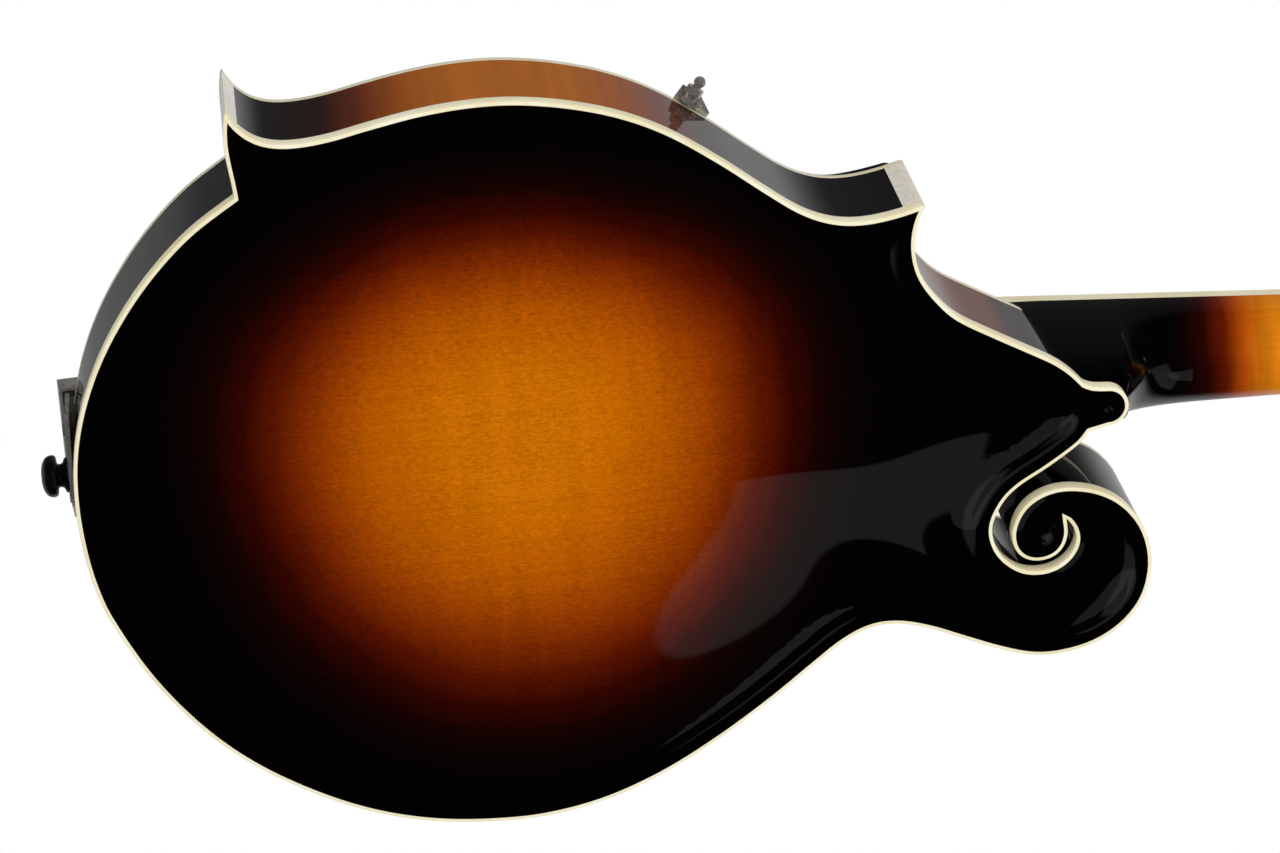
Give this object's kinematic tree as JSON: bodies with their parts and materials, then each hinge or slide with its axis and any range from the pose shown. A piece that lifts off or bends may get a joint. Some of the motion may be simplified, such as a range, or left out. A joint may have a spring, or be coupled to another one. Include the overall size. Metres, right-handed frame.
{
  "type": "mandolin",
  "caption": "Carved-body fretted string instrument with a scroll, two body points, arched back and top, bound edges, geared tuners and a height-adjustable bridge.",
  "frame": {"origin": "on the outside of the rib at the tail end, on the centre line and at half the rib's height", "axes": "+Z along the neck towards the headstock, +Y out of the back, +X towards the treble side"},
  "size_m": [0.263, 0.1127, 0.699],
  "materials": {
    "maple_back": "high-gloss sunburst lacquer over figured maple",
    "spruce_top": "high-gloss sunburst lacquer over straight-grained spruce",
    "maple_rib": "high-gloss dark sunburst lacquer",
    "maple_neck": "gloss dark lacquer fading to amber along the shaft",
    "inner_wood": "bare, unfinished",
    "ebony": "satin, oiled",
    "binding": "cream, lacquered",
    "ivoroid": "ivory colour, polished",
    "black_plastic": "polished black",
    "pearl": "pearl, polished",
    "bone": "bone, polished",
    "nickel": "nickel plate",
    "brass": "polished brass",
    "steel": "drawn steel",
    "string_metal": "phosphor bronze wound and plain steel",
    "fret_wire": "polished nickel silver"
  },
  "bodies": {
    "root": {"back_plate": "maple_back", "top_plate": "spruce_top", "rib_scroll": "maple_rib", "rib_tail": "maple_rib", "rib_treble": "maple_rib", "rib_upper": "maple_rib", "body_blocks": "inner_wood", "linings": "inner_wood", "tone_bars": "inner_wood", "back_binding": "binding", "top_binding": "binding", "point_protectors": "ivoroid", "end_pin": "black_plastic", "tailpiece_base": "nickel", "tailpiece_screws": "nickel", "pickguard": "black_plastic", "pickguard_bracket": "nickel", "bridge_base": "ebony", "bridge_studs": "brass", "neck": "maple_neck", "truss_rod": "steel", "truss_cover": "black_plastic", "fretboard": "ebony", "fretboard_binding": "binding", "frets": "fret_wire", "fret_markers": "pearl", "nut": "bone", "headstock_veneer": "black_plastic", "tuner_plates": "nickel", "post_bushings": "nickel", "strings": "string_metal"},
    "key_1": {"button_1": "ivoroid", "worm_1": "nickel"},
    "string_post_1": {"post_1": "brass"},
    "key_2": {"button_2": "ivoroid", "worm_2": "nickel"},
    "string_post_2": {"post_2": "brass"},
    "key_3": {"button_3": "ivoroid", "worm_3": "nickel"},
    "string_post_3": {"post_3": "brass"},
    "key_4": {"button_4": "ivoroid", "worm_4": "nickel"},
    "string_post_4": {"post_4": "brass"},
    "key_5": {"button_5": "ivoroid", "worm_5": "nickel"},
    "string_post_5": {"post_5": "brass"},
    "key_6": {"button_6": "ivoroid", "worm_6": "nickel"},
    "string_post_6": {"post_6": "brass"},
    "key_7": {"button_7": "ivoroid", "worm_7": "nickel"},
    "string_post_7": {"post_7": "brass"},
    "key_8": {"button_8": "ivoroid", "worm_8": "nickel"},
    "string_post_8": {"post_8": "brass"},
    "cover": {"tailpiece_cover": "nickel"},
    "saddle": {"bridge_saddle": "ebony"},
    "wheel_bass": {"thumbwheel_bass": "brass"},
    "wheel_treble": {"thumbwheel_treble": "brass"},
    "truss_adjuster": {"truss_nut": "brass"}
  },
  "joints": [
    {"name": "key_1_turn", "type": "hinge", "parent": "root", "child": "key_1", "pos_m": [0.024, 0.02089, 0.56261], "axis": [1, 0, 0], "continuous": true},
    {"name": "post_1_turn", "type": "hinge", "parent": "root", "child": "string_post_1", "pos_m": [0.024, 0.00535, 0.57751], "axis": [0, 0.9354, -0.3535], "continuous": true},
    {"name": "key_2_turn", "type": "hinge", "parent": "root", "child": "key_2", "pos_m": [0.024, 0.02901, 0.58412], "axis": [1, 0, 0], "continuous": true},
    {"name": "post_2_turn", "type": "hinge", "parent": "root", "child": "string_post_2", "pos_m": [0.024, 0.01348, 0.59903], "axis": [0, 0.9354, -0.3535], "continuous": true},
    {"name": "key_3_turn", "type": "hinge", "parent": "root", "child": "key_3", "pos_m": [0.024, 0.03714, 0.60564], "axis": [1, 0, 0], "continuous": true},
    {"name": "post_3_turn", "type": "hinge", "parent": "root", "child": "string_post_3", "pos_m": [0.024, 0.02161, 0.62054], "axis": [0, 0.9354, -0.3535], "continuous": true},
    {"name": "key_4_turn", "type": "hinge", "parent": "root", "child": "key_4", "pos_m": [0.024, 0.04528, 0.62715], "axis": [1, 0, 0], "continuous": true},
    {"name": "post_4_turn", "type": "hinge", "parent": "root", "child": "string_post_4", "pos_m": [0.024, 0.02974, 0.64206], "axis": [0, 0.9354, -0.3535], "continuous": true},
    {"name": "key_5_turn", "type": "hinge", "parent": "root", "child": "key_5", "pos_m": [-0.024, 0.02089, 0.56261], "axis": [1, 0, 0], "continuous": true},
    {"name": "post_5_turn", "type": "hinge", "parent": "root", "child": "string_post_5", "pos_m": [-0.024, 0.00535, 0.57751], "axis": [0, 0.9354, -0.3535], "continuous": true},
    {"name": "key_6_turn", "type": "hinge", "parent": "root", "child": "key_6", "pos_m": [-0.024, 0.02901, 0.58412], "axis": [1, 0, 0], "continuous": true},
    {"name": "post_6_turn", "type": "hinge", "parent": "root", "child": "string_post_6", "pos_m": [-0.024, 0.01348, 0.59903], "axis": [0, 0.9354, -0.3535], "continuous": true},
    {"name": "key_7_turn", "type": "hinge", "parent": "root", "child": "key_7", "pos_m": [-0.024, 0.03714, 0.60564], "axis": [1, 0, 0], "continuous": true},
    {"name": "post_7_turn", "type": "hinge", "parent": "root", "child": "string_post_7", "pos_m": [-0.024, 0.02161, 0.62054], "axis": [0, 0.9354, -0.3535], "continuous": true},
    {"name": "key_8_turn", "type": "hinge", "parent": "root", "child": "key_8", "pos_m": [-0.024, 0.04528, 0.62715], "axis": [1, 0, 0], "continuous": true},
    {"name": "post_8_turn", "type": "hinge", "parent": "root", "child": "string_post_8", "pos_m": [-0.024, 0.02974, 0.64206], "axis": [0, 0.9354, -0.3535], "continuous": true},
    {"name": "cover_slide", "type": "slide", "parent": "root", "child": "cover", "axis": [0, -0.1011, 0.9949], "range_m": [0, 0.03]},
    {"name": "saddle_height", "type": "slide", "parent": "root", "child": "saddle", "axis": [0, -1, 0], "range_m": [-0.001, 0.001], "deforming": ["strings"]},
    {"name": "wheel_bass_turn", "type": "hinge", "parent": "saddle", "child": "wheel_bass", "pos_m": [-0.031, -0.04325, 0.19274], "axis": [0, 1, 0], "range_deg": [-360, 360]},
    {"name": "wheel_treble_turn", "type": "hinge", "parent": "saddle", "child": "wheel_treble", "pos_m": [0.031, -0.04325, 0.19274], "axis": [0, 1, 0], "range_deg": [-360, 360]},
    {"name": "truss_nut_turn", "type": "hinge", "parent": "root", "child": "truss_adjuster", "pos_m": [0, 0.0006, 0.55295], "axis": [0, 0.0993, 0.9951], "range_deg": [-180, 180]}
  ],
  "couplings": [
    {"joint": "post_1_turn", "follows": "key_1_turn", "ratio": 0.0625},
    {"joint": "post_2_turn", "follows": "key_2_turn", "ratio": 0.0625},
    {"joint": "post_3_turn", "follows": "key_3_turn", "ratio": 0.0625},
    {"joint": "post_4_turn", "follows": "key_4_turn", "ratio": 0.0625},
    {"joint": "post_5_turn", "follows": "key_5_turn", "ratio": 0.0625},
    {"joint": "post_6_turn", "follows": "key_6_turn", "ratio": 0.0625},
    {"joint": "post_7_turn", "follows": "key_7_turn", "ratio": 0.0625},
    {"joint": "post_8_turn", "follows": "key_8_turn", "ratio": 0.0625},
    {"joint": "wheel_bass_turn", "follows": "saddle_height", "rad_per_m": -6283.2},
    {"joint": "wheel_treble_turn", "follows": "saddle_height", "rad_per_m": -6283.2}
  ]
}
